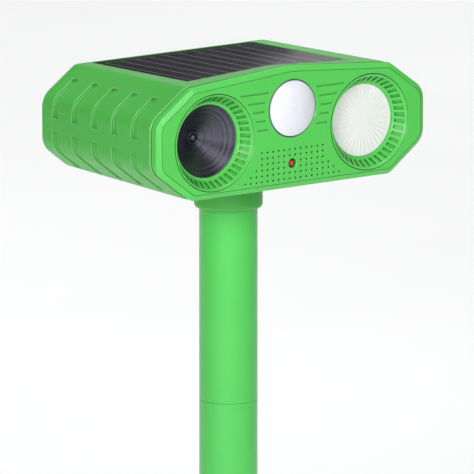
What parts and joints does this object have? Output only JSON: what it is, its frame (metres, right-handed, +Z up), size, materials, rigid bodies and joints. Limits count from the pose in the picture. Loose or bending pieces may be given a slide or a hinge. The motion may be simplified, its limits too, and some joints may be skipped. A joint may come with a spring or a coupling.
{
  "type": "ultrasonic pest repeller",
  "caption": "Solar ultrasonic pest repeller: wide chamfered head with speaker, flash lamp and motion sensor, turning on a round garden stake.",
  "frame": {"origin": "on the stake's axis at ground level, where the spike enters the soil", "axes": "+Z up along the stake, -Y towards the front of the head, +X to the right seen from the front"},
  "size_m": [0.145, 0.0942, 0.3137],
  "materials": {
    "cover_green": "satin moulded ABS, fine grain",
    "housing_green": "satin moulded ABS, fine grain",
    "stake_green": "semi-gloss moulded ABS",
    "seal_rubber": "soft silicone rubber",
    "speaker_black": "satin black moulded cone",
    "black_plastic": "moulded plastic",
    "brass": "plain brass and copper",
    "lamp_white": "frosted diffuser, polished rim",
    "reflector_chrome": "vacuum metallised",
    "lamp_board_aluminium": "white solder mask on aluminium",
    "emitter_yellow": "phosphor over white package",
    "dome_white": "milky polyethylene",
    "can_steel": "plated",
    "window_black": "filter window",
    "indicator_red": "clear red resin",
    "board_green": "solder mask on glass fibre",
    "capacitor_aluminium": "sleeved can",
    "screw_steel": "zinc plated",
    "panel_backing": "glass-fibre sheet",
    "solar_cell": "monocrystalline cells",
    "panel_glass": "clear resin top sheet",
    "cell_blue": "shrink sleeve",
    "pot_blue": "moulded body",
    "knob_black": "ribbed grip",
    "button_orange": "soft-touch button",
    "lead_red": "PVC insulation",
    "lead_black": "PVC insulation"
  },
  "bodies": {
    "stake": {"stake_tube": "stake_green", "ground_spike": "stake_green"},
    "head": {"rear_housing": "housing_green", "front_cover": "cover_green", "cover_gasket": "seal_rubber", "speaker_ring": "cover_green", "lamp_ring": "cover_green", "speaker_cone": "speaker_black", "speaker_dome": "speaker_black", "speaker_basket": "black_plastic", "piezo_disc": "brass", "damper_pad": "seal_rubber", "lamp_lens": "lamp_white", "lamp_reflector": "reflector_chrome", "lamp_board": "lamp_board_aluminium", "lamp_leds": "emitter_yellow", "pir_lens": "dome_white", "pir_retainer": "black_plastic", "pir_sensor": "can_steel", "pir_window": "window_black", "indicator_led": "indicator_red", "alarm_buzzer": "black_plastic", "sensor_board": "board_green", "board_chips": "black_plastic", "board_capacitors": "capacitor_aluminium", "driver_coil": "brass", "board_screws": "screw_steel", "solar_backing": "panel_backing", "solar_cells": "solar_cell", "solar_cover": "panel_glass", "battery_holder": "black_plastic", "battery_cells": "cell_blue", "battery_contacts": "can_steel", "holder_screws": "screw_steel", "control_board": "board_green", "control_screws": "screw_steel", "mode_switch": "black_plastic", "sensitivity_pot": "pot_blue", "power_switch": "black_plastic", "usb_socket": "can_steel", "cover_screws": "screw_steel", "panel_leads": "lead_red", "battery_leads": "lead_red", "board_leads": "lead_black", "speaker_leads": "lead_black", "lamp_leads": "lead_black"},
    "mode_knob": {"mode_dial": "knob_black"},
    "sensitivity_knob": {"sensitivity_dial": "knob_black"},
    "button": {"power_button": "button_orange"},
    "flap": {"usb_cover": "seal_rubber"}
  },
  "joints": [
    {"name": "head_swivel", "type": "hinge", "parent": "stake", "child": "head", "pos_m": [0, 0, 0.13], "axis": [0, 0, 1], "continuous": true},
    {"name": "mode_turn", "type": "hinge", "parent": "head", "child": "mode_knob", "pos_m": [0.042, 0.04, 0.155], "axis": [0, 1, 0], "range_deg": [0, 240]},
    {"name": "sensitivity_turn", "type": "hinge", "parent": "head", "child": "sensitivity_knob", "pos_m": [-0.042, 0.04, 0.155], "axis": [0, 1, 0], "range_deg": [-135, 135]},
    {"name": "button_press", "type": "slide", "parent": "head", "child": "button", "axis": [0, -1, 0], "range_m": [0, 0.0012], "stiffness_N_per_m": 800},
    {"name": "flap_open", "type": "hinge", "parent": "head", "child": "flap", "pos_m": [0, 0.0433, 0.1565], "axis": [1, 0, 0], "range_deg": [0, 100]}
  ]
}
